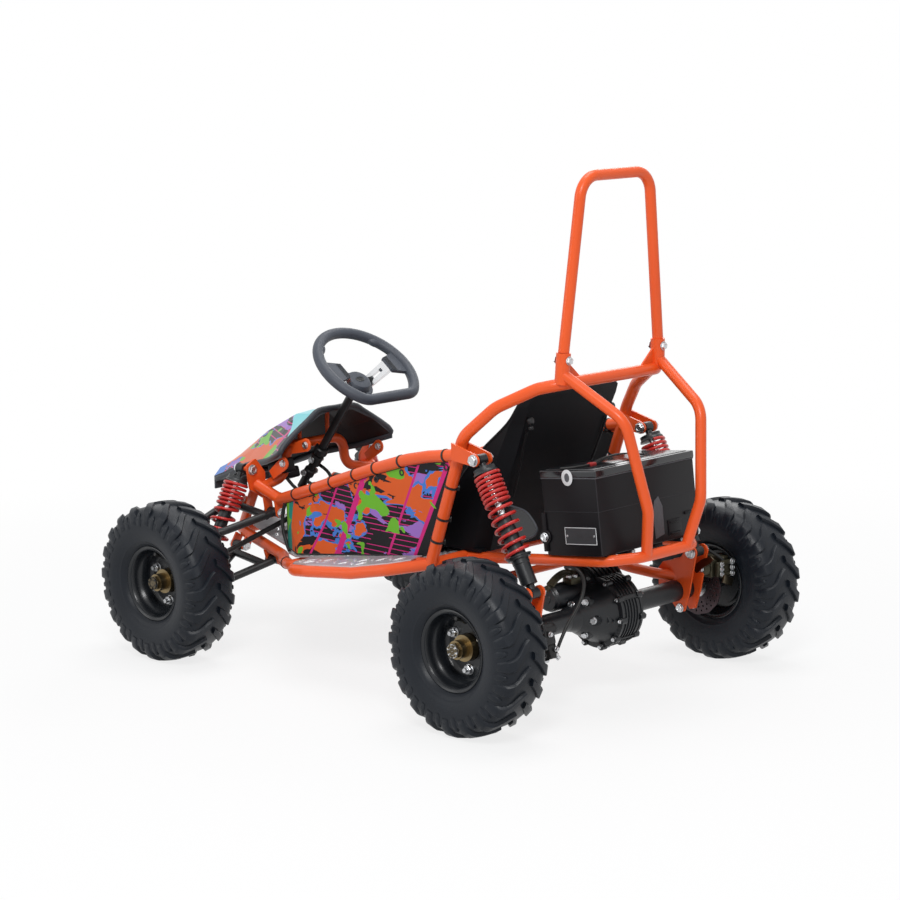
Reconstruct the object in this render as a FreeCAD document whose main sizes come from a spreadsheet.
import FreeCAD, Part
import math
import os
import Sketcher

from FreeCAD import Placement, Rotation, Vector

# Single-seat electric off-road buggy.
# +X points forward, +Y to the driver's left, +Z up, and the ground is z = 0.
# Lengths are millimetres. Places are given from the rear or the front axle line,
# so a change of wheelbase or tyre moves everything that the axles carry.

SIZES = (
    # name, value, what it is
    ("rear_axle_x", -458.07, "rear axle line, from the middle of the overall length"),
    ("wheelbase", 925.0, "between the axle lines"),
    ("half_track", 410.0, "from the centre line to a wheel's middle plane"),
    ("axle_height", 177.5, "axle line above the ground"),
    ("tyre_radius", 177.5, "to the lug tips"),
    ("tyre_half_width", 61.5, "of the tyre section"),
    ("carcass_radius", 170.5, "to the rubber between the lugs"),
    ("lug_count", 20, "lugs in each of a tyre's two rows"),
    ("lug_root", 9.0, "from a lug's top to its hidden foot"),
    ("bead_radius", 76.0, "tyre and rim seat"),
    ("rim_half_width", 46.5, "to the outside of a flange"),
    ("rim_flange_radius", 82.0, "rolled edge of the rim"),
    ("rim_wall", 3.0, "pressed steel"),
    ("dish_offset", -6.0, "outer face of the wheel disc from the middle plane"),
    ("rim_well", 9.0, "depth of the rim's well below the bead seats"),
    ("hub_radius", 56.0, "flange behind the wheel disc"),
    ("hub_flange", 9.0, "thickness"),
    ("hub_nave_radius", 27.0, "barrel that centres the wheel disc"),
    ("hub_nave_reach", 18.0, "barrel, outward from the wheel disc"),
    ("hub_boss_radius", 19.0, "end of the hub, under the axle nut"),
    ("hub_reach", 39.0, "end of the hub, outward from the wheel disc"),
    ("hub_tail", 10.0, "boss, inward from the flange"),
    ("axle_nut_radius", 14.0, "castle nut"),
    ("axle_nut_height", 10.0, "castle nut"),
    ("stud_circle", 46.0, "radius of the wheel studs' circle"),
    ("stud_count", 3, "wheel studs"),
    ("stud_radius", 4.5, "wheel stud"),
    ("stud_reach", 16.0, "stud, outward from the wheel disc"),
    ("nut_radius", 8.5, "wheel nut"),
    ("nut_height", 8.0, "wheel nut"),
    ("stub_radius", 8.5, "front stub axle and rear shaft end"),
    ("running_gap", 0.05, "radial clearance of a shaft in its bore"),
    ("main_tube", 12.7, "radius of the main frame tubes"),
    ("bolt_radius", 5.0, "bolts of the suspension pivots and shock eyes"),
    ("loop_tube", 11.5, "radius of the rear loops and the roll bar"),
    ("arm_tube", 9.0, "radius of the suspension arm tubes"),
    ("bend_radius", 55.0, "of a frame tube's bends"),
    ("socket_radius", 15.0, "roll bar socket"),
    ("floor_sheet", 2.5, "floor pan"),
    ("panel_sheet", 2.0, "side panel fabric"),
    ("plate", 5.0, "bracket plates"),
    ("cover_wall", 4.0, "nose fairing"),
    ("cover_rim", 15.0, "edge of the nose fairing, turned down"),
    ("shell_wall", 6.0, "seat shell"),
    ("box_length", 154.0, "battery box, along the buggy"),
    ("box_width", 310.0, "battery box, across"),
    ("box_height", 158.0, "battery box, to the lid"),
    ("lid_height", 17.0, "battery lid"),
    ("box_tilt", 6.4, "battery box and its rails, nose down"),
    ("wheel_rim_radius", 118.0, "steering wheel, middle of the grip"),
    ("grip_radius", 12.5, "steering wheel grip"),
    ("flat_offset", 95.0, "flat of the steering wheel, from its hub"),
    ("wheel_lift", 37.0, "steering wheel's grip above the top of its hub"),
    ("column_radius", 9.5, "steering shaft"),
    ("pitman_length", 45.0, "from the column axis to the tie rods"),
    ("kingpin_radius", 14.0, "upright of a front knuckle"),
    ("kingpin_offset", 85.0, "kingpin, inboard of the wheel's middle plane"),
    ("pin_radius", 6.0, "kingpin ends in the arms' eyes"),
    ("steer_arm_length", 60.0, "kingpin to tie rod"),
    ("tie_rod_radius", 6.0, "tie rod"),
    ("housing_radius", 23.0, "rear axle tube"),
    ("drum_radius", 74.0, "differential casing"),
    ("motor_radius", 54.0, "motor, over its fins"),
    ("motor_end_radius", 28.0, "end of the motor, beside the axle tube"),
    ("disc_radius", 66.0, "brake disc"),
    ("disc_sheet", 4.0, "brake disc"),
    ("front_spring_radius", 29.0, "to the outside of the coils"),
    ("rear_spring_radius", 29.0, "to the outside of the coils"),
    ("front_wire", 3.6, "radius of the front spring wire"),
    ("rear_wire", 3.6, "radius of the rear spring wire"),
)

doc = FreeCAD.newDocument("buggy")
sheet = doc.addObject("Spreadsheet::Sheet", "Sizes")
for row, (name, value, note) in enumerate(SIZES, start=1):
    sheet.set(f"A{row}", name)
    sheet.set(f"B{row}", str(value))
    sheet.set(f"C{row}", note)
    sheet.setAlias(f"B{row}", name)
doc.recompute()


def size(name):
    """A driving dimension, read from the sheet."""
    return float(sheet.get(name))


def number(expression):
    """The value of an expression on the sheet's names."""
    cell = f"E{len(SIZES) + 2}"
    sheet.set(cell, "=" + expression.replace("Sizes.", ""))
    sheet.recompute()
    return float(sheet.get(cell))


REAR_X = size("rear_axle_x")
FRONT_X = REAR_X + size("wheelbase")
AXLE_Z = size("axle_height")
HALF_TRACK = size("half_track")


def rear(x, y, z):
    """A point given from the rear axle line."""
    return Vector(REAR_X + x, y, AXLE_Z + z)


def front(x, y, z):
    """A point given from the front axle line."""
    return Vector(FRONT_X + x, y, AXLE_Z + z)


def mirrored(points):
    """The same points on the buggy's right."""
    return [Vector(p.x, -p.y, p.z) for p in points]


# Plain solids

def rod(start, end, radius):
    """Round bar between two points."""
    run = end - start
    return Part.makeCylinder(radius, run.Length, start, run)


def path_of(points, bend):
    """Straight runs joined by tangent arcs, no larger than the runs allow."""
    edges = []
    last = points[0]
    for before, corner, after in zip(points, points[1:], points[2:]):
        inward = (before - corner).normalize()
        outward = (after - corner).normalize()
        turn = math.pi - inward.getAngle(outward)
        room = 0.48 * min((corner - before).Length, (after - corner).Length)
        reach = min(bend * math.tan(turn / 2), room)
        arc_radius = reach / math.tan(turn / 2)
        middle = (inward + outward).normalize()
        depth = arc_radius / math.cos(turn / 2) - arc_radius
        arc_start = corner + inward * reach
        arc_end = corner + outward * reach
        if (arc_start - last).Length > 0.01:
            edges.append(Part.LineSegment(last, arc_start).toShape())
        edges.append(Part.Arc(arc_start, corner + middle * depth, arc_end).toShape())
        last = arc_end
    if (points[-1] - last).Length > 0.01:
        edges.append(Part.LineSegment(last, points[-1]).toShape())
    return Part.Wire(edges)


def tube(points, radius, bend=None):
    """Bent round tube, closed at its ends."""
    if len(points) == 2:
        return rod(points[0], points[1], radius)
    path = path_of(points, bend or size("bend_radius"))
    start = points[0]
    circle = Part.makeCircle(radius, start, points[1] - start)
    return path.makePipe(Part.Face(Part.Wire(circle)))


def plate_solid(outline, normal, thickness, round_to=0.0):
    """Flat plate: an outline of points, thickened to both sides along the normal."""
    wire = Part.makePolygon(list(outline) + [outline[0]])
    along = Vector(normal).normalize()
    solid = Part.Face(wire).extrude(along * thickness)
    solid.translate(along * (-thickness / 2))
    if round_to:
        edges = [edge for edge in solid.Edges
                 if abs(abs((edge.lastVertex().Point - edge.firstVertex().Point).dot(along)) - thickness) < 0.01]
        solid = solid.makeFillet(round_to, edges)
    return solid


def eye(centre, axis, outer, length):
    """Round boss about a point."""
    along = Vector(axis).normalize()
    return Part.makeCylinder(outer, length, centre - along * (length / 2), along)


def joined(solids):
    """Welded pieces as one solid."""
    whole = solids[0]
    for solid in solids[1:]:
        grown = whole.fuse(solid)
        if not grown.isValid() or grown.Volume < max(whole.Volume, solid.Volume) - 1.0:
            raise RuntimeError("a weld lost one of its pieces")
        whole = grown
    return whole.removeSplitter()


def flipped(shape):
    """The same solid on the buggy's right."""
    return shape.mirror(Vector(0, 0, 0), Vector(0, 1, 0))


PARTS = []


def piece(label, shape, place=None):
    """Keep a solid worked out above as a sub-part with a label and a placement."""
    holder = doc.addObject("Part::Feature", label)
    holder.Label = label
    origin = place or Placement()
    local = shape.copy()
    local.transformShape(origin.inverse().toMatrix())
    holder.Shape = local
    holder.Placement = origin
    PARTS.append(holder)
    return holder


def new_body(label):
    """Empty PartDesign body."""
    body = doc.addObject("PartDesign::Body", label)
    body.Label = label
    PARTS.append(body)
    return body


def sketch_on(body, name, role, offset=0.0):
    """Sketch on one of the body's own origin planes."""
    sketch = body.newObject("Sketcher::SketchObject", name)
    origin_plane = [item for item in body.Origin.OriginFeatures if item.Role == role][0]
    sketch.AttachmentSupport = [(origin_plane, "")]
    sketch.MapMode = "FlatFace"
    sketch.AttachmentOffset = Placement(Vector(0, 0, offset), Rotation())
    return sketch


def outline(sketch, corners):
    """Closed outline whose corners are pairs of expressions on the sheet."""
    points = [Vector(number(across), number(up), 0) for across, up in corners]
    count = len(points)
    for index in range(count):
        sketch.addGeometry(Part.LineSegment(points[index], points[(index + 1) % count]), False)
    for index in range(count):
        sketch.addConstraint(Sketcher.Constraint("Coincident", index, 2, (index + 1) % count, 1))
    for index, (across, up) in enumerate(corners):
        for kind, expression, value in (("DistanceX", across, points[index].x),
                                        ("DistanceY", up, points[index].y)):
            held = sketch.addConstraint(Sketcher.Constraint(kind, -1, 1, index, 1, value))
            sketch.setExpression(f"Constraints[{held}]", expression)


def revolved(body, name, corners, plane="YZ_Plane"):
    """Turned form: an outline of (along, radius) pairs about the sketch's own across axis."""
    sketch = sketch_on(body, name + "_profile", plane)
    outline(sketch, corners)
    feature = body.newObject("PartDesign::Revolution", name)
    feature.Profile = sketch
    feature.ReferenceAxis = (sketch, ["H_Axis"])
    feature.Angle = 360.0
    return feature


def pad(body, name, sketch, length, centred=False):
    """Extrusion whose length is an expression on the sheet."""
    feature = body.newObject("PartDesign::Pad", name)
    feature.Profile = sketch
    feature.setExpression("Length", length)
    feature.Midplane = centred
    return feature


# Frame: welded round tubes, with the body raked nose down over its skid rails

NODE_B = rear(161, 257, 347.5)
NODE_T = rear(-25, 151, 497.5)
CROSSBAR_END = rear(-25, 110, 497.5)
LOOP_TOP = rear(-25, 152, 520.5)
POST_FOOT = rear(248, 257, 107.5)
NODE_V = front(-110, 165, 161.5)
RAIL_CROSS_X = 248.0

SIDE_RAIL = [NODE_V, front(-250, 201.5, 205), rear(437, 241.5, 283.4), rear(315, 252.5, 320),
             rear(250, 255.5, 334), NODE_B]
HOOP = [NODE_B, rear(151, 257.5, 384.5), rear(92.7, 222, 446.5), rear(17.9, 177.6, 487.1), NODE_T, CROSSBAR_END]
FLOOR_RAIL = [POST_FOOT, rear(300, 257, 102), front(-225, 240, 37.5), front(-165, 208, 32.5),
              front(-125, 172, 34.5), front(50, 130, 58.5), front(85, 112, 62.5)]
STEP_BAR = [front(-285, 236, 48), front(-285, 282, 48), front(-312, 316, 52), front(-365, 322, 58),
            rear(430, 314, 71), rear(330, 304, 90.7), POST_FOOT]
LOOP = [LOOP_TOP, rear(-165, 120, 431.5), rear(-194, 84, 247.5), rear(-173, 64, 153.5)]
BOX_RAIL = [rear(RAIL_CROSS_X, size("box_width") / 2 - 5, 105), rear(-125, size("box_width") / 2 - 20, 144.5),
            rear(-172, 82, 150.5)]
ROLL_BAR = [rear(-25, 150, 530), rear(-42, 104, 911.5)]
ROLL_SOCKET_TOP = rear(-28, 148, 561)


SHOCK_TOP_FRONT = front(-9, 189, 224.5)
SHOCK_FOOT_FRONT = front(12, 290, 8)
SHOCK_TOP_REAR = rear(97, 262, 346)
SHOCK_FOOT_REAR = rear(-43, 262, 89)
SWING_PIVOT = rear(226, 200, 62)
BRACKET_GAP = 19.0
KINGPIN_Y = HALF_TRACK - size("kingpin_offset")
UPPER_EYE_Z = 91.0
LOWER_EYE_Z = -42.0
EYE_HEIGHT = 26.0
UPPER_REAR = front(-84, 160, 128)
UPPER_FRONT = front(43, 166, 146)
LOWER_REAR = front(-72, 150, 15)
LOWER_FRONT = front(50, 150, 32)
LOWER_LEAN = (0.3, -0.66)
COLUMN_TOP = front(-205, 0, 422.5)
COLUMN_FOOT = front(0, 0, 154.1)
COLUMN_AXIS = (COLUMN_TOP - COLUMN_FOOT).normalize()
COLUMN_REST = (COLUMN_FOOT + COLUMN_AXIS * 120.1
               + COLUMN_AXIS.cross(Vector(0, 1, 0)).normalize() * (-size("column_radius") - 0.5))
PIVOT_HALF = 15.7


def pivot_bracket(pivot, toward, reach):
    """Two ears and a bolt along X that carry a suspension arm's pivot."""
    thick = size("plate")
    up = Vector(toward).normalize()
    side = up.cross(Vector(1, 0, 0))
    solids = [rod(pivot - Vector(27, 0, 0), pivot + Vector(27, 0, 0), size("bolt_radius"))]
    for shift in (-1, 1):
        centre = pivot + Vector(shift * (PIVOT_HALF + 0.3 + thick / 2), 0, 0)
        ear = [centre - up * 10 - side * 6, centre - up * 10 + side * 6, centre - up * 4 + side * 11,
               centre + up * reach + side * 11, centre + up * reach - side * 11, centre - up * 4 - side * 11]
        solids.append(plate_solid(ear, Vector(1, 0, 0), thick))
    return solids


def side_frame():
    """Upper rail, post, hoop and step bar of one side, with the shock's top clevis."""
    main = size("main_tube")
    solids = [tube(SIDE_RAIL, main, 160.0), rod(NODE_B, POST_FOOT, main), tube(HOOP, main, 90.0),
              tube(STEP_BAR, main)]
    for ball in (NODE_B, POST_FOOT):
        solids.append(Part.makeSphere(main, ball))
    top = SHOCK_TOP_REAR
    for shift in (-BRACKET_GAP, BRACKET_GAP):
        ear = [top + Vector(-2, shift, 13), top + Vector(4, shift, -12), top + Vector(62, shift, -6),
               top + Vector(62, shift, 30)]
        solids.append(plate_solid(ear, Vector(0, 1, 0), size("plate")))
        solids.append(eye(top + Vector(0, shift, 0), Vector(0, 1, 0), 13.0, size("plate")))
    solids.append(rod(top - Vector(0, BRACKET_GAP + 8, 0), top + Vector(0, BRACKET_GAP + 8, 0), size("bolt_radius")))
    return joined(solids)


def floor_frame():
    """Floor rails, cross members and the rails that carry the battery box."""
    main = size("main_tube")
    solids = []
    for side in (FLOOR_RAIL, mirrored(FLOOR_RAIL)):
        solids.append(tube(side, main))
    for across in (POST_FOOT, front(-225, 240, 37.5), front(80, 113, 62)):
        solids.append(rod(across, Vector(across.x, -across.y, across.z), main))
    for sign in (1, -1):
        for pivot in (LOWER_REAR, LOWER_FRONT):
            toward = Vector(0, sign * LOWER_LEAN[pivot.x > FRONT_X], 1)
            solids += pivot_bracket(Vector(pivot.x, sign * pivot.y, pivot.z), toward, 26.0)
        pivot = Vector(SWING_PIVOT.x, sign * SWING_PIVOT.y, SWING_PIVOT.z)
        for shift in (-22.8, 22.8):
            ear = [pivot + Vector(-9, shift, -10), pivot + Vector(9, shift, -10), pivot + Vector(13, shift, 0),
                   pivot + Vector(34, shift, 42), pivot + Vector(8, shift, 46), pivot + Vector(-13, shift, 0)]
            solids.append(plate_solid(ear, Vector(0, 1, 0), size("plate")))
        solids.append(rod(pivot - Vector(0, 32, 0), pivot + Vector(0, 32, 0), size("bolt_radius") + 3))
    rails = BOX_RAIL + [Vector(p.x, -p.y, p.z) for p in reversed(BOX_RAIL)]
    solids.append(tube(rails, size("loop_tube"), 40.0))
    return joined(solids)


TOWER_TOP = front(-45, 178, 190)
UPPER_FRONT_REACH = 40.0
UPPER_CROSS = 22.0
LOWER_CROSS = 27.0


def front_frame():
    """Shock towers, column hoop and the struts down to the floor rails."""
    main = size("main_tube")
    thick = size("plate")
    solids = []
    for sign in (1, -1):
        corner = Vector(NODE_V.x, sign * NODE_V.y, NODE_V.z)
        top = Vector(TOWER_TOP.x, sign * TOWER_TOP.y, TOWER_TOP.z)
        solids.append(rod(corner, top, main))
        solids.append(rod(top, front(78, sign * 116, 66), size("loop_tube")))
        solids.append(Part.makeSphere(main, corner))
        tower = [front(-42, sign * 150, 150), front(-42, sign * 196, 180), front(-42, sign * 206, 235),
                 front(-42, sign * 178, 250), front(-42, sign * 150, 215)]
        solids.append(plate_solid(tower, Vector(1, 0, 0), thick, 6.0))
        bolt = Vector(SHOCK_TOP_FRONT.x, sign * SHOCK_TOP_FRONT.y, SHOCK_TOP_FRONT.z)
        solids.append(rod(bolt - Vector(40, 0, 0), bolt + Vector(14, 0, 0), size("bolt_radius")))
        solids += pivot_bracket(Vector(UPPER_REAR.x, sign * UPPER_REAR.y, UPPER_REAR.z),
                                Vector(0, sign * 0.16, 1), 46.0)
        solids += pivot_bracket(Vector(UPPER_FRONT.x, sign * UPPER_FRONT.y, UPPER_FRONT.z),
                                Vector(0, -sign, -0.5), UPPER_FRONT_REACH)
        post = front(-47, sign * 44, 267)
        solids.append(rod(post, post + Vector(0, 0, 63.4), 5.0))
    hoop = [front(-58, 170, 184.5), front(-50, 96, 198), front(-50, 88, 267)]
    hoop += mirrored(reversed(hoop))
    solids.append(tube(hoop, size("loop_tube"), 35.0))
    solids.append(rod(COLUMN_REST, front(-50, 0, 267), 8.0))
    return joined(solids)


def loops_frame():
    """Rear loops, the bar across and the two roll bar sockets."""
    loop = size("loop_tube")
    solids = []
    for sign in (1, -1):
        side = LOOP if sign > 0 else mirrored(LOOP)
        solids.append(tube(side, loop, 60.0))
        top = Vector(ROLL_SOCKET_TOP.x, sign * ROLL_SOCKET_TOP.y, ROLL_SOCKET_TOP.z)
        foot = Vector(NODE_T.x, sign * NODE_T.y, NODE_T.z)
        solids.append(rod(foot, top, size("socket_radius")))
    end = CROSSBAR_END
    solids.append(rod(end, Vector(end.x, -end.y, end.z), size("main_tube")))
    return joined(solids)


def roll_bar():
    """Detachable roll bar, standing in the sockets."""
    points = [ROLL_SOCKET_TOP, ROLL_BAR[1], Vector(ROLL_BAR[1].x, -ROLL_BAR[1].y, ROLL_BAR[1].z),
              Vector(ROLL_SOCKET_TOP.x, -ROLL_SOCKET_TOP.y, ROLL_SOCKET_TOP.z)]
    return tube(points, size("loop_tube"), 48.0)


LEFT_SIDE = side_frame()
piece("frame_side_left", LEFT_SIDE)
RIGHT_SIDE = flipped(LEFT_SIDE)
piece("frame_side_right", RIGHT_SIDE)
FLOOR = floor_frame().cut(LEFT_SIDE).cut(RIGHT_SIDE)
piece("frame_floor", FLOOR)
FRONT = front_frame().cut(LEFT_SIDE).cut(RIGHT_SIDE).cut(FLOOR)
piece("frame_front", FRONT)
LOOPS = loops_frame().cut(LEFT_SIDE).cut(RIGHT_SIDE).cut(FLOOR)
piece("rear_loops", LOOPS)
piece("roll_bar", roll_bar().cut(LOOPS))


# Floor pan, foot plates, side panels, nose and seat

def folded_sheet(near, far, through):
    """Sheet between two edges of equally many points, folded from flat triangles."""
    solids = []
    for index in range(len(near) - 1):
        for corners in ((near[index], near[index + 1], far[index + 1]), (near[index], far[index + 1], far[index])):
            back = [p + through for p in corners]
            solids.append(Part.makeLoft([Part.makePolygon(list(corners) + [corners[0]]),
                                         Part.makePolygon(back + [back[0]])], True, True))
    return joined(solids)


PAN = [rear(262, 240, 112), front(-225, 226, 53), front(-165, 194, 48), front(-128, 158, 50),
       front(60, 112, 76)]


# The foot plates lie on the floor rail's and the step bar's tops, past the side panels.
STEP_INNER = [rear(285, 246, 116.4), rear(330, 245, 109.9), rear(430, 240, 93.9), front(-365, 236, 72.9),
              front(-312, 233, 64.3), front(-285, 232, 60.8)]
STEP_OUTER = [rear(285, 279, 113.2), rear(330, 304, 103.5), rear(430, 314, 83.8), front(-365, 322, 70.8),
              front(-312, 314, 64.8), front(-287, 284, 60.9)]


def floor_pan():
    """Chequer plate laid on the floor rails, and a foot plate at each side."""
    up = Vector(0, 0, size("floor_sheet"))
    pan = folded_sheet(PAN, mirrored(PAN), up)
    step = folded_sheet(STEP_INNER, STEP_OUTER, up).cut(LEFT_SIDE).cut(FLOOR)
    return Part.makeCompound([pan, step, flipped(step)])


piece("floor_pan", floor_pan())

PANEL_TOP = [front(-142, 174.3, 158.2), front(-250, 202, 192), rear(437, 242, 270.3), rear(315, 253, 307),
             rear(250, 256, 321), rear(180, 257.5, 331)]
PANEL_FOOT = [front(-150, 180, 58), front(-225, 222, 60), front(-365, 226, 79), rear(400, 234, 101),
              rear(300, 238, 112), rear(262, 238, 125)]


def side_panel():
    """Fabric panel tied between the upper rail, the post and the floor rail."""
    return folded_sheet(PANEL_TOP, PANEL_FOOT, Vector(0, -size("panel_sheet"), 0))


LEFT_PANEL = side_panel().cut(LEFT_SIDE)
piece("side_panel_left", LEFT_PANEL)
piece("side_panel_right", flipped(LEFT_PANEL))

# Nose sections: (x from front axle, crown half width, crown z, shoulder y, shoulder z, edge y, edge z, middle z)
NOSE_SECTIONS = (
    (-128, 55, 346, 120, 316, 176, 274, 355),
    (-45, 50, 336, 108, 285, 148, 246, 340),
    (60, 46, 285, 88, 245, 116, 220, 288),
    (196, 42, 196, 78, 188, 98, 170, 199),
)


def nose_fairing():
    """Angular hood over the front tower, open underneath."""
    wall = size("cover_wall")
    rim = size("cover_rim")
    wires = []
    for x, crown_y, crown_z, shoulder_y, shoulder_z, edge_y, edge_z, middle_z in NOSE_SECTIONS:
        half = [(edge_y, edge_z), (shoulder_y, shoulder_z), (crown_y, crown_z), (0, middle_z)]
        outer = half + [(-y, z) for y, z in reversed(half[:-1])]
        inner = [(y - math.copysign(wall, y) if y else 0, z - wall * 1.2) for y, z in reversed(outer)]
        outer = [(edge_y, edge_z - rim)] + outer + [(-edge_y, edge_z - rim)]
        inner = [(wall - edge_y, edge_z - rim)] + inner + [(edge_y - wall, edge_z - rim)]
        ring = [front(x, y, z) for y, z in outer + inner]
        wires.append(Part.makePolygon(ring + [ring[0]]))
    # the front section closes the nose, with a deeper lip
    face = [(edge_y, edge_z - 2 * rim), (edge_y, edge_z), (shoulder_y, shoulder_z), (crown_y, crown_z)]
    face += [(-y, z) for y, z in reversed(face)]
    tip = plate_solid([front(x - wall / 2, y, z) for y, z in face], Vector(1, 0, 0), wall)
    return joined([Part.makeLoft(wires, True, True), tip])


piece("nose_fairing", nose_fairing().cut(FRONT))

# Seat back sections: (z, rear face x, front edge x, half width, corner)
SEAT_SECTIONS = (
    (121.5, 196, 318, 158, 26),
    (200, 172, 290, 160, 26),
    (270, 146, 254, 160, 26),
    (336, 118, 196, 159, 26),
    (400, 94, 124, 156, 22),
    (440, 78, 96, 152, 14),
    (458, 70, 85, 145, 10),
    (467, 67, 79, 128, 8),
)


def seat_shell():
    """Bucket seat: a back with side bolsters, rising from a shallow pan."""
    wall = size("shell_wall")
    wires = []
    for z, back_x, edge_x, half_width, corner in SEAT_SECTIONS:
        outer = [(edge_x, half_width), (back_x + corner, half_width), (back_x, half_width - corner)]
        inner = [(back_x + wall, half_width - corner - wall * 0.4),
                 (back_x + corner + wall * 0.4, half_width - wall), (edge_x, half_width - wall)]
        ring = outer + [(x, -y) for x, y in reversed(outer)] + [(x, -y) for x, y in reversed(inner)] + inner
        points = [rear(x, y, z) for x, y in ring]
        wires.append(Part.makePolygon(points + [points[0]]))
    back = Part.makeLoft(wires, True, True)
    pan = Part.makeBox(320, 2 * 158, wall, rear(200, -158, 121.5))
    lip = Part.makeBox(wall, 2 * 158, 34, rear(514, -158, 121 - 28))
    sides = []
    for sign in (1, -1):
        wedge = [rear(284, 0, 121), rear(520, 0, 121), rear(520, 0, 138), rear(284, 0, 200)]
        cheek = Part.Face(Part.makePolygon(wedge + [wedge[0]])).extrude(Vector(0, wall, 0))
        cheek.translate(Vector(0, 158 - wall if sign > 0 else -158, 0))
        sides.append(cheek)
    return joined([back, pan, lip] + sides)


piece("seat_shell", seat_shell())

# Battery box on its rails, with a lid that overhangs it

BOX_PLACE = Placement(rear(-134, 0, 158.2), Rotation(Vector(0, 1, 0), size("box_tilt")))


def battery_box():
    """Box in its own frame: x from its rear face, y across, z from its floor."""
    box = new_body("battery_box")
    base = sketch_on(box, "box_outline", "XY_Plane")
    outline(base, (("0", "-Sizes.box_width / 2"), ("Sizes.box_length", "-Sizes.box_width / 2"),
                   ("Sizes.box_length", "Sizes.box_width / 2"), ("0", "Sizes.box_width / 2")))
    pad(box, "box_pad", base, "Sizes.box_height")
    box.Placement = BOX_PLACE
    return box


def battery_lid():
    """Lid with an overhanging lip."""
    lid = new_body("battery_lid")
    base = sketch_on(lid, "lid_outline", "XY_Plane")
    outline(base, (("-2", "-Sizes.box_width / 2 - 2"), ("Sizes.box_length + 2", "-Sizes.box_width / 2 - 2"),
                   ("Sizes.box_length + 2", "Sizes.box_width / 2 + 2"), ("-2", "Sizes.box_width / 2 + 2")))
    pad(lid, "lid_pad", base, "Sizes.lid_height")
    lid.Placement = BOX_PLACE * Placement(Vector(0, 0, size("box_height")), Rotation())
    return lid


battery_box()
battery_lid()

# Front suspension arms

def ball_joint(height):
    """Eye at an arm's outer end, round the kingpin."""
    bore = size("pin_radius") + size("running_gap")
    centre = front(0, KINGPIN_Y, height)
    return centre, bore


def bored(arm, pivots):
    """Clear the pivot bolts' holes through an arm's bushes."""
    hole = size("bolt_radius") + size("running_gap")
    for pivot in pivots:
        arm = arm.cut(Part.makeCylinder(hole, 80, pivot - Vector(40, 0, 0), Vector(1, 0, 0)))
    return arm


def upper_arm():
    """Looped tube round the shock, from two pivots to the upper ball joint."""
    radius = size("arm_tube")
    centre, bore = ball_joint(UPPER_EYE_Z)
    loop = [UPPER_REAR, front(-43, KINGPIN_Y - 20, 92.5), front(47, KINGPIN_Y - 20, 92.5), UPPER_FRONT]
    beside = Vector(0, UPPER_CROSS, -6)
    solids = [tube(loop, radius, 42.0), eye(centre, Vector(0, 0, 1), 13.0, EYE_HEIGHT),
              rod(UPPER_REAR + beside, UPPER_FRONT + beside, radius)]
    for pivot in (UPPER_REAR, UPPER_FRONT):
        solids.append(eye(pivot, Vector(1, 0, 0), 10.5, 2 * PIVOT_HALF))
    arm = joined(solids).cut(Part.makeCylinder(bore, 60, centre - Vector(0, 0, 30), Vector(0, 0, 1)))
    return bored(arm, (UPPER_REAR, UPPER_FRONT))


def lower_arm():
    """A-arm with a tube between its two pivots and ears for the shock's foot."""
    radius = size("arm_tube")
    centre, bore = ball_joint(LOWER_EYE_Z)
    solids = [eye(centre, Vector(0, 0, 1), 13.0, EYE_HEIGHT)]
    end = centre - Vector(0, 12, 0)
    for pivot in (LOWER_REAR, LOWER_FRONT):
        solids.append(rod(pivot, end, radius))
        solids.append(eye(pivot, Vector(1, 0, 0), 10.5, 2 * PIVOT_HALF))
    solids.append(rod(LOWER_REAR + Vector(10, LOWER_CROSS, -8), LOWER_FRONT + Vector(-8, LOWER_CROSS, -10),
                      radius))
    foot = SHOCK_FOOT_FRONT
    ear = [foot + Vector(0, -14, 2), foot + Vector(0, -6, 12), foot + Vector(0, 6, 12),
           foot + Vector(0, 11, 2), foot + Vector(0, 9, -42), foot + Vector(0, -32, -34)]
    for shift in (-18.7, 18.7):
        outline_points = [Vector(foot.x + shift, p.y, p.z) for p in ear]
        solids.append(plate_solid(outline_points, Vector(1, 0, 0), size("plate")))
    solids.append(rod(foot - Vector(26, 0, 0), foot + Vector(26, 0, 0), size("bolt_radius")))
    arm = joined(solids).cut(Part.makeCylinder(bore, 60, centre - Vector(0, 0, 30), Vector(0, 0, 1)))
    return bored(arm, (LOWER_REAR, LOWER_FRONT))


def pair(shape):
    """A piece and its mirror image, as two solids of one node."""
    return Part.makeCompound([shape, flipped(shape)])


piece("upper_arms", pair(upper_arm()))
piece("lower_arms", pair(lower_arm()))


# Shock absorbers: a damper with an eye at each end, and a coil spring round it

def damper(top, foot, body_radius, rod_radius, eye_axis, spring_radius, spring):
    """Damper between its two eyes, with a seat at each end of the spring."""
    along = (foot - top).normalize()
    length = (foot - top).Length
    start, end = spring
    solids = [eye(top, eye_axis, 11.0, 22.0), eye(foot, eye_axis, 11.0, 22.0),
              rod(top, top + along * (0.46 * length), rod_radius),
              rod(top + along * (0.42 * length), foot - along * 19, body_radius),
              rod(foot - along * 20, foot, 9.0),
              rod(top + along * (start - 12), top + along * start, spring_radius - 6),
              rod(top + along * end, top + along * (end + 6), spring_radius - 5)]
    hole = size("bolt_radius") + size("running_gap")
    whole = joined(solids)
    for centre in (top, foot):
        whole = whole.cut(Part.makeCylinder(hole, 60, centre - eye_axis * 30, eye_axis))
    return whole


def plain_spring(start, end, radius, wire):
    """Closed sleeve with the spring's outer size."""
    run = end - start
    outer = Part.makeCylinder(radius, run.Length, start, run)
    return outer.cut(Part.makeCylinder(radius - 2 * wire, run.Length + 2, start - run.normalize(), run))


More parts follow.
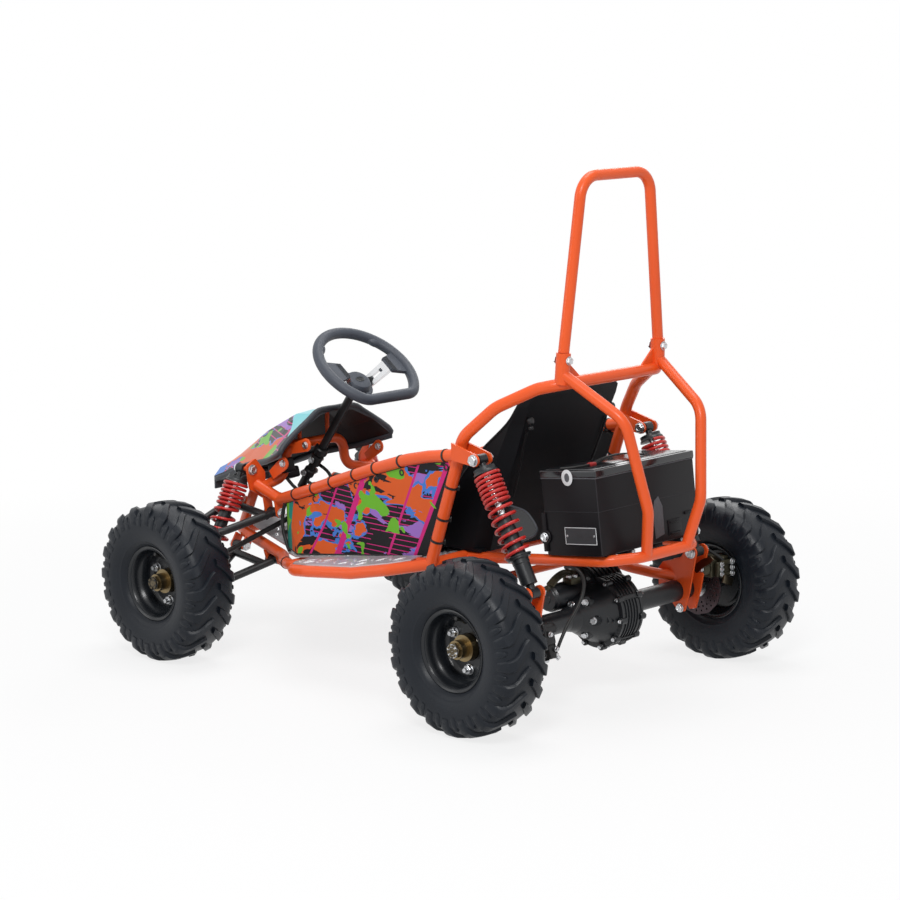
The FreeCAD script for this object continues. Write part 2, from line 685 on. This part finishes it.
def point_on(top, foot, along):
    """Point at a distance from the top eye towards the foot."""
    return top + (foot - top).normalize() * along


# Where each spring begins and ends, from the top eye.
FRONT_SPRING = (33.0, 191.0)
REAR_SPRING = (31.0, 212.0)
SEAT_GAP = 0.2

piece("front_dampers", pair(damper(SHOCK_TOP_FRONT, SHOCK_FOOT_FRONT, 14.0, 6.0, Vector(1, 0, 0),
                                   size("front_spring_radius"), FRONT_SPRING)))
piece("front_springs", pair(plain_spring(
    point_on(SHOCK_TOP_FRONT, SHOCK_FOOT_FRONT, FRONT_SPRING[0] + SEAT_GAP),
    point_on(SHOCK_TOP_FRONT, SHOCK_FOOT_FRONT, FRONT_SPRING[1] - SEAT_GAP),
    size("front_spring_radius"), size("front_wire"))))
piece("rear_dampers", pair(damper(SHOCK_TOP_REAR, SHOCK_FOOT_REAR, 17.0, 7.0, Vector(0, 1, 0),
                                  size("rear_spring_radius"), REAR_SPRING)))
piece("rear_springs", pair(plain_spring(
    point_on(SHOCK_TOP_REAR, SHOCK_FOOT_REAR, REAR_SPRING[0] + SEAT_GAP),
    point_on(SHOCK_TOP_REAR, SHOCK_FOOT_REAR, REAR_SPRING[1] - SEAT_GAP),
    size("rear_spring_radius"), size("rear_wire"))))

# Rear axle, its arms, motor and brake

BRACKET_Y = 262.0
HOUSING_END = 288.0
DISC_Y = -316.0


def swing_side(sign):
    """One trailing arm, its pivot bush and the pair of plates on the axle tube."""
    thick = size("plate")
    pivot = Vector(SWING_PIVOT.x, sign * SWING_PIVOT.y, SWING_PIVOT.z)
    solids = [tube([pivot, rear(93, sign * 200, 45.5), rear(34, sign * 222, 36), rear(2, sign * 256, 30)],
                   size("loop_tube"), 60.0)]
    for shift in (-BRACKET_GAP, BRACKET_GAP):
        y = sign * (BRACKET_Y + shift)
        shape = [rear(-56, y, 86), rear(-31, y, 98), rear(-14, y, 74), rear(34, y, 60), rear(47, y, 44),
                 rear(45, y, 2), rear(20, y, -14), rear(-10, y, -46), rear(-25, y, -42), rear(-38, y, 0)]
        solids.append(plate_solid(shape, Vector(0, 1, 0), thick))
        solids.append(eye(Vector(SHOCK_FOOT_REAR.x, y, SHOCK_FOOT_REAR.z), Vector(0, 1, 0), 14.0, thick))
    web = Part.makeBox(thick, 2 * BRACKET_GAP, 44, rear(28, sign * BRACKET_Y - BRACKET_GAP, 4))
    solids.append(web)
    bolt = Vector(SHOCK_FOOT_REAR.x, sign * SHOCK_FOOT_REAR.y, SHOCK_FOOT_REAR.z)
    solids.append(rod(bolt - Vector(0, BRACKET_GAP + 8, 0), bolt + Vector(0, BRACKET_GAP + 8, 0),
                      size("bolt_radius")))
    solids.append(eye(pivot, Vector(0, 1, 0), 15.0, 40.0))
    return solids


def rear_swingarm():
    """Trailing arms from the cross member to the plates that clamp the axle tube."""
    across = rear(196, 200, 58.3)
    solids = swing_side(1) + swing_side(-1)
    solids.append(rod(across, Vector(across.x, -across.y, across.z), 9.0))
    arm = joined(solids)
    arm = arm.cut(rod(rear(0, -400, 0), rear(0, 400, 0), size("housing_radius")))
    hole = size("bolt_radius") + 3 + size("running_gap")
    return arm.cut(rod(Vector(SWING_PIVOT.x, -300, SWING_PIVOT.z), Vector(SWING_PIVOT.x, 300, SWING_PIVOT.z), hole))


SWINGARM = rear_swingarm().cut(FLOOR)
piece("rear_swingarm", SWINGARM)


def axle_housing():
    """Axle tubes and differential casing, turned about the axle line."""
    housing = new_body("axle_housing")
    shaft_bore = "Sizes.stub_radius + 4 + Sizes.running_gap"
    half = f"{HOUSING_END}"
    corners = (("-" + half, shaft_bore), ("-" + half, "Sizes.housing_radius"),
               ("-60", "Sizes.housing_radius"), ("-52", "Sizes.housing_radius + 14"),
               ("-45", "Sizes.drum_radius - 5"), ("-40", "Sizes.drum_radius"), ("20", "Sizes.drum_radius"),
               ("24", "Sizes.drum_radius - 8"),
               ("60", "Sizes.drum_radius - 26"), ("95", "Sizes.housing_radius + 6"),
               ("120", "Sizes.housing_radius"), (half, "Sizes.housing_radius"), (half, shaft_bore),
               ("220", shaft_bore), ("220", "0"), ("-220", "0"), ("-220", shaft_bore))
    revolved(housing, "casing", corners)
    housing.Placement = Placement(rear(0, 0, 0), Rotation())
    doc.recompute()
    return housing.Shape


def drive_motor(casing):
    """Finned motor set into the top of the differential casing, with a long end cap to the left."""
    radius = size("motor_radius")
    cap = size("motor_end_radius")
    corners = [(-62, 0), (-62, radius - 8), (-56, radius - 4)]
    for start in range(-56, 20, 12):
        corners += [(start, radius), (start + 7, radius), (start + 7, radius - 4), (start + 12, radius - 4)]
    corners += [(28, radius - 10), (30, cap + 6), (38, cap), (122, cap), (128, cap - 6), (128, 0)]
    points = [Vector(0, along, up) for along, up in corners]
    can = Part.Face(Part.makePolygon(points + [points[0]])).revolve(Vector(0, 0, 0), Vector(0, 1, 0), 360)
    can.translate(rear(38, 0, 41))
    return can.cut(casing)


piece("drive_motor", drive_motor(axle_housing()))


def brake_caliper():
    """Caliper over the disc's top, on a bracket from the axle tube."""
    block = Part.makeBox(56, 26, 40, rear(-28, DISC_Y - 14, 46))
    slot = Part.makeBox(80, size("disc_sheet") + 3, size("disc_radius") + 4,
                        rear(-40, DISC_Y - size("disc_sheet") / 2 - 1.5, 0))
    stay = Part.makeBox(30, 24, 30, rear(-15, -308, 46))
    return joined([block.cut(slot), stay])


# Steering wheel and column

COLUMN_TURN = Rotation(Vector(0, 0, 1), COLUMN_AXIS)
COLUMN_PLACE = Placement(COLUMN_TOP, COLUMN_TURN)


def wheel_path():
    """Steering wheel's grip line: a circle cut by a flat towards the driver."""
    radius = size("wheel_rim_radius")
    flat = size("flat_offset")
    corner = 38.0
    across = math.sqrt((radius - corner) ** 2 - (flat - corner) ** 2)
    scale = radius / (radius - corner)
    shoulder = Vector(-(flat - corner) * scale, across * scale, 0)
    centre = Vector(-(flat - corner), across, 0)
    chord = Vector(-flat, across, 0)
    middle = centre + ((shoulder + chord) * 0.5 - centre).normalize() * corner
    edges = [Part.Arc(shoulder, Vector(radius, 0, 0), Vector(shoulder.x, -shoulder.y, 0)).toShape(),
             Part.Arc(Vector(shoulder.x, -shoulder.y, 0), Vector(middle.x, -middle.y, 0),
                      Vector(chord.x, -chord.y, 0)).toShape(),
             Part.LineSegment(Vector(chord.x, -chord.y, 0), chord).toShape(),
             Part.Arc(chord, middle, shoulder).toShape()]
    return Part.Wire(edges)


def spoke(side):
    """Pad at the grip, and a slotted bar from it down to the hub."""
    lift = size("wheel_lift")
    reach = size("wheel_rim_radius") - 8
    pad_end = 66.0
    face = [Vector(-34, side * reach, lift - 4), Vector(34, side * reach, lift - 4),
            Vector(21, side * pad_end, lift - 4), Vector(-21, side * pad_end, lift - 4)]
    pad_solid = Part.Face(Part.makePolygon(face + [face[0]])).extrude(Vector(0, 0, 8))
    foot = [Vector(-15, side * 74, lift - 6), Vector(-15, side * 74, lift), Vector(-15, side * 62, lift),
            Vector(-15, side * 30, -12), Vector(-15, side * 20, -18), Vector(-15, side * 30, -18)]
    bar = Part.Face(Part.makePolygon(foot + [foot[0]])).extrude(Vector(30, 0, 0))
    slot = Part.makeBox(9, 20, 26, Vector(-4.5, side * 49 - 10, 0))
    return [pad_solid, bar.cut(slot)]


def steering_wheel():
    """Grip with a flat, two dished spokes and the hub."""
    path = wheel_path()
    start = path.OrderedVertexes[0].Point
    first = path.OrderedEdges[0]
    tangent = first.tangentAt(first.FirstParameter)
    grip = path.makePipe(Part.Face(Part.Wire(Part.makeCircle(size("grip_radius"), start, tangent))))
    grip.translate(Vector(0, 0, size("wheel_lift")))
    solids = [grip, Part.makeCylinder(37, 12, Vector(0, 0, -24)), Part.makeCylinder(27, 13, Vector(0, 0, -13))]
    solids += spoke(1) + spoke(-1)
    wheel = joined(solids)
    wheel.Placement = COLUMN_PLACE
    return wheel


def steering_column():
    """Shaft from the wheel to the arm that pushes the tie rods."""
    length = (COLUMN_TOP - COLUMN_FOOT).Length
    shaft = Part.makeCylinder(size("column_radius"), length - 24, Vector(0, 0, -length))
    lever = Part.makeBox(size("pitman_length"), 22, 7, Vector(-size("pitman_length"), -11, -length))
    tip = Part.makeCylinder(24, 7, Vector(-size("pitman_length") + 4, 0, -length))
    column = joined([shaft, lever, tip])
    column.Placement = COLUMN_PLACE
    return column


piece("steering_wheel", steering_wheel(), COLUMN_PLACE)
piece("steering_column", steering_column(), COLUMN_PLACE)

# Front knuckles and tie rods

STEER_ARM_Z = 31.5
STEER_ARM_Y = KINGPIN_Y - 26.0


def knuckle():
    """Upright on its kingpin, with the stub axle and the steering arm."""
    low = LOWER_EYE_Z + EYE_HEIGHT / 2 + 0.3
    high = UPPER_EYE_Z - EYE_HEIGHT / 2 - 0.3
    foot = front(0, KINGPIN_Y, low)
    solids = [rod(foot, front(0, KINGPIN_Y, high), size("kingpin_radius")),
              rod(front(0, KINGPIN_Y, low - EYE_HEIGHT - 4), front(0, KINGPIN_Y, high + EYE_HEIGHT + 4),
                  size("pin_radius"))]
    outer = HALF_TRACK + size("dish_offset") + size("hub_reach")
    inner = HALF_TRACK + size("dish_offset") - size("rim_wall") - size("hub_flange") - size("hub_tail")
    solids.append(rod(front(0, KINGPIN_Y, 0), front(0, outer + 3, 0), size("stub_radius")))
    solids.append(rod(front(0, KINGPIN_Y, 0), front(0, inner - 0.3, 0), size("hub_boss_radius") - 3))
    nut = front(0, outer + 0.3, 0)
    solids.append(rod(nut, nut + Vector(0, size("axle_nut_height"), 0), size("axle_nut_radius")))
    arm_end = front(-size("steer_arm_length"), STEER_ARM_Y, STEER_ARM_Z)
    arm_start = front(0, KINGPIN_Y, STEER_ARM_Z)
    solids.append(rod(arm_start, arm_end, 7.0))
    solids.append(eye(arm_end, Vector(0, 0, 1), 11.0, 12.0))
    solids.append(rod(arm_end, arm_end + Vector(0, 0, 29), size("bolt_radius")))
    return joined(solids)


def tie_rod():
    """Rod from the steering arm to just below the column's lever."""
    outer = front(-size("steer_arm_length"), STEER_ARM_Y, STEER_ARM_Z + 18)
    lever_end = COLUMN_FOOT + COLUMN_TURN.multVec(Vector(-size("pitman_length"), 0, 0))
    inner = Vector(lever_end.x - 6, 20, lever_end.z - 16)
    solids = [rod(outer, inner, size("tie_rod_radius")), eye(outer, Vector(0, 0, 1), 10.0, 14.0),
              Part.makeSphere(9.0, inner)]
    hole = size("bolt_radius") + size("running_gap")
    return joined(solids).cut(rod(outer - Vector(0, 0, 20), outer + Vector(0, 0, 20), hole))


LEFT_KNUCKLE = knuckle()
piece("knuckle_left", LEFT_KNUCKLE)
piece("knuckle_right", flipped(LEFT_KNUCKLE))
LEFT_TIE_ROD = tie_rod()
piece("tie_rod_left", LEFT_TIE_ROD)
piece("tie_rod_right", flipped(LEFT_TIE_ROD))


# Wheels, each in its own frame about the middle plane, outer face towards +Y

TYRE_HALF = (
    # across the tyre, radius
    ("Sizes.rim_half_width - 3.3", "Sizes.bead_radius"),
    ("Sizes.rim_half_width - 3.3", "Sizes.rim_flange_radius + 1"),
    ("Sizes.tyre_half_width - 8", "Sizes.rim_flange_radius + 12"),
    ("Sizes.tyre_half_width - 1", "Sizes.rim_flange_radius + 34"),
    ("Sizes.tyre_half_width", "Sizes.carcass_radius - 34"),
    ("Sizes.tyre_half_width - 5", "Sizes.carcass_radius - 16"),
    ("Sizes.tyre_half_width - 20", "Sizes.carcass_radius - 3"),
    ("16", "Sizes.carcass_radius"),
)

# A lug's stations from the shoulder to the crown: across the tyre, how far the lug has swept round
# in degrees, half its length round the tyre in degrees, height of its top above the carcass
LUG_STATIONS = (
    (61.0, 1.5, 2.6, -25.0),
    (53.0, 1.0, 3.3, -4.0),
    (37.0, -2.5, 3.0, 4.4),
    (20.0, -8.5, 2.7, 6.6),
    (5.0, -12.5, 2.0, 7.0),
)


def polar(radius, degrees, across):
    """Point on the tyre, from its radius, its angle round the axle and its place across."""
    angle = math.radians(degrees)
    return Vector(radius * math.cos(angle), across, radius * math.sin(angle))


def lug(side, turn):
    """Rubber bar from the shoulder to the crown, its top following the rounded tread."""
    rings = []
    for across, swept, half, height in LUG_STATIONS:
        top = size("carcass_radius") + height
        low = top - size("lug_root")
        middle = turn + swept
        rings.append([polar(low, middle - half - 0.8, side * across), polar(top, middle - half, side * across),
                      polar(top, middle + half, side * across), polar(low, middle + half + 0.8, side * across)])
    corners = [(ring[0], ring[1], ring[2], ring[3]) for ring in (rings[0], rings[-1])]
    faces = []
    for quad in corners:
        faces += [facet(quad[0], quad[1], quad[2]), facet(quad[0], quad[2], quad[3])]
    for near, far in zip(rings, rings[1:]):
        for index in range(4):
            after = (index + 1) % 4
            faces += [facet(near[index], near[after], far[after]), facet(near[index], far[after], far[index])]
    solid = Part.Solid(Part.Shell(faces))
    if solid.Volume < 0:
        solid.reverse()
    return solid


def facet(first, second, third):
    """Flat triangle."""
    return Part.Face(Part.makePolygon([first, second, third, first]))


def mirrored_profile(half):
    """Outline of (across, radius) pairs, completed to the other side."""
    other = [("-(" + across + ")", radius) for across, radius in reversed(half)]
    return list(half) + other


WHEELS = (
    # name, point on the axle's middle plane, outer side
    ("front_left", front(0, HALF_TRACK, 0), 1),
    ("front_right", front(0, -HALF_TRACK, 0), -1),
    ("rear_left", rear(0, HALF_TRACK, 0), 1),
    ("rear_right", rear(0, -HALF_TRACK, 0), -1),
)


def wheel_place(centre, side):
    """Wheel frame: its outer face looks away from the buggy."""
    turn = 0 if side > 0 else 180
    return Placement(centre, Rotation(Vector(0, 0, 1), turn))


def tyre_shape():
    """Tyre section turned about the axle, with two staggered rows of lugs."""
    section = [Vector(0, number(across), number(radius)) for across, radius in mirrored_profile(TYRE_HALF)]
    wire = Part.makePolygon(section + [section[0]])
    carcass = Part.Face(wire).revolve(Vector(0, 0, 0), Vector(0, 1, 0), 360)
    count = int(size("lug_count"))
    lugs = []
    for index in range(count):
        for side, stagger in ((1, 0.0), (-1, 0.5)):
            lugs.append(lug(side, 360.0 * (index + stagger) / count))
    return carcass.fuse(lugs)


TYRE = tyre_shape()


def tyre(name, centre, side):
    """Tyre on its wheel; the lugs' sweep is the same seen from either side of the buggy."""
    shape = TYRE if side > 0 else TYRE.mirror(Vector(0, 0, 0), Vector(1, 0, 0))
    place = wheel_place(centre, side)
    shape = shape.copy()
    shape.Placement = place
    piece("tyre_" + name, shape, place)


STUDS = int(size("stud_count"))
STUD_ANGLES = [360.0 * (index + 0.25) / STUDS for index in range(STUDS)]


def rim(name, centre, side):
    """Pressed steel rim: flanges, a well between the bead seats, and a disc deep inside."""
    body = new_body("rim_" + name)
    seat = "Sizes.bead_radius"
    inside = "Sizes.bead_radius - Sizes.rim_wall"
    well = "Sizes.bead_radius - Sizes.rim_well"
    well_inside = well + " - Sizes.rim_wall"
    edge = "Sizes.rim_half_width"
    bore = "Sizes.hub_nave_radius + 0.3"
    back = "Sizes.dish_offset - Sizes.rim_wall"
    outer = ((edge, "Sizes.rim_flange_radius"), (edge + " - 3", "Sizes.rim_flange_radius"),
             (edge + " - 3", seat), (edge + " - 18.5", seat + " - 1"), (edge + " - 24.5", well))
    corners = list(outer) + [("-(" + across + ")", radius) for across, radius in reversed(outer)]
    corners += [("-" + edge, inside), ("-(" + edge + " - 19.5)", seat + " - 4"),
                ("-(" + edge + " - 26)", well_inside), (back, well_inside), (back, bore),
                ("Sizes.dish_offset", bore), ("Sizes.dish_offset", well_inside),
                (edge + " - 26", well_inside), (edge + " - 19.5", seat + " - 4"), (edge, inside)]
    revolved(body, "barrel_" + name, corners)
    holes = sketch_on(body, "holes_" + name, "XZ_Plane")
    for index, angle in enumerate(STUD_ANGLES):
        turn = math.radians(angle)
        across = f"Sizes.stud_circle * {math.cos(turn):.6f}"
        up = f"Sizes.stud_circle * {math.sin(turn):.6f}"
        middle = Vector(number(across), number(up), 0)
        holes.addGeometry(Part.Circle(middle, Vector(0, 0, 1), size("stud_radius") + 0.3), False)
        for kind, expression, value in (("DistanceX", across, middle.x), ("DistanceY", up, middle.y)):
            held = holes.addConstraint(Sketcher.Constraint(kind, -1, 1, index, 3, value))
            holes.setExpression(f"Constraints[{held}]", expression)
        held = holes.addConstraint(Sketcher.Constraint("Radius", index, size("stud_radius") + 0.3))
        holes.setExpression(f"Constraints[{held}]", "Sizes.stud_radius + 0.3")
    cut = body.newObject("PartDesign::Pocket", "stud_holes_" + name)
    cut.Profile = holes
    cut.Midplane = True
    cut.Length = 60.0
    body.Placement = wheel_place(centre, side)


def turned(start, end, radius):
    """Round bar about the wheel's axis, between two places along it."""
    return Part.makeCylinder(radius, end - start, Vector(0, start, 0), Vector(0, 1, 0))


def hub(name, centre, side):
    """Hub with its flange behind the wheel disc, studs, nuts and, at the rear, the driven shaft."""
    face = size("dish_offset")
    back = face - size("rim_wall")
    inner = back - size("hub_flange")
    end = face + size("hub_reach")
    solids = [turned(inner, back, size("hub_radius")),
              turned(inner, face + size("hub_nave_reach"), size("hub_nave_radius")),
              turned(inner - size("hub_tail"), end, size("hub_boss_radius"))]
    for angle in STUD_ANGLES:
        turn = math.radians(angle)
        spot = Vector(size("stud_circle") * math.cos(turn), 0, size("stud_circle") * math.sin(turn))
        stud = turned(back - 1, face + size("stud_reach"), size("stud_radius"))
        nut = turned(face, face + size("nut_height"), size("nut_radius"))
        for solid in (stud, nut):
            solid.translate(spot)
            solids.append(solid)
    solid = joined(solids)
    if name.startswith("front"):
        solid = solid.cut(turned(-100, 100, size("stub_radius") + size("running_gap")))
    else:
        start = -(HALF_TRACK - 224.0)
        solid = joined([solid, turned(start, face, size("stub_radius") + 4),
                        turned(end, end + size("axle_nut_height"), size("axle_nut_radius"))])
    solid.Placement = wheel_place(centre, side)
    piece("hub_" + name, solid, wheel_place(centre, side))


for name, centre, side in WHEELS:
    tyre(name, centre, side)
    rim(name, centre, side)
    hub(name, centre, side)


def brake_disc():
    """Disc on the right rear hub, inboard of the wheel."""
    bore = size("stub_radius") + 4
    centre = rear(0, DISC_Y - size("disc_sheet") / 2, 0)
    disc = Part.makeCylinder(size("disc_radius"), size("disc_sheet"), centre, Vector(0, 1, 0))
    carrier = Part.makeCylinder(26, 14, centre - Vector(0, 14, 0), Vector(0, 1, 0))
    hole = Part.makeCylinder(bore, 80, centre - Vector(0, 40, 0), Vector(0, 1, 0))
    return joined([disc, carrier]).cut(hole)


piece("brake_disc", brake_disc())
piece("brake_caliper", brake_caliper())

# Pedals on the floor, ahead of the seat

def pedals():
    """Right foot: drive. Left foot: brake. Each a plate on a hinged stem."""
    solids = []
    for side in (1, -1):
        foot = front(-62, side * 70, 62.6)
        stem = rod(foot, foot + Vector(-22, 0, 74), 5.0)
        pad_face = Part.makeBox(7, 46, 70, foot + Vector(-32, -23, 34))
        pad_face.rotate(foot + Vector(-22, 0, 74), Vector(0, 1, 0), -16)
        base = Part.makeBox(34, 50, 6, foot + Vector(-17, -25, 0))
        base.rotate(foot, Vector(0, 1, 0), -7.9)
        solids.append(joined([stem, pad_face, base]))
    return Part.makeCompound(solids)


piece("pedals", pedals())

CABLES = (
    # left brake lead: (x, y, z) from the rear axle
    ((-20, 139.5, 118.6), (-34, 168, 98), (-42, 205, 54), (-30, 237.2, 8)),
    ((40, -142, 112.2), (52, -205, 104), (50, -262, 98), (31.3, -310, 80)),
)


def brake_cables():
    """Brake leads held along the rails and the axle."""
    leads = [tube([rear(*point) for point in lead], 3.0, 40.0) for lead in CABLES]
    return Part.makeCompound(leads)


piece("brake_cables", brake_cables())

doc.recompute()

os.makedirs("parts", exist_ok=True)
for item in doc.Objects:
    if "Invalid" in item.State or "Error" in item.State:
        raise RuntimeError(f"{item.Label}: {item.State}")
for item in PARTS:
    if item.Shape.isNull() or not item.Shape.isValid():
        raise RuntimeError(f"{item.Label}: no valid shape")
whole = FreeCAD.BoundBox()
for item in PARTS:
    whole.add(item.Shape.BoundBox)
    print(f"{item.Label:18s} solids {len(item.Shape.Solids)}  volume {item.Shape.Volume / 1000:9.1f} cm3")
    item.Shape.exportStep(f"parts/{item.Label}.step")
print(f"nodes {len(PARTS)}, x {whole.XMin:.2f} {whole.XMax:.2f}, y {whole.YMin:.2f} {whole.YMax:.2f},"
      f" z {whole.ZMin:.2f} {whole.ZMax:.2f}")
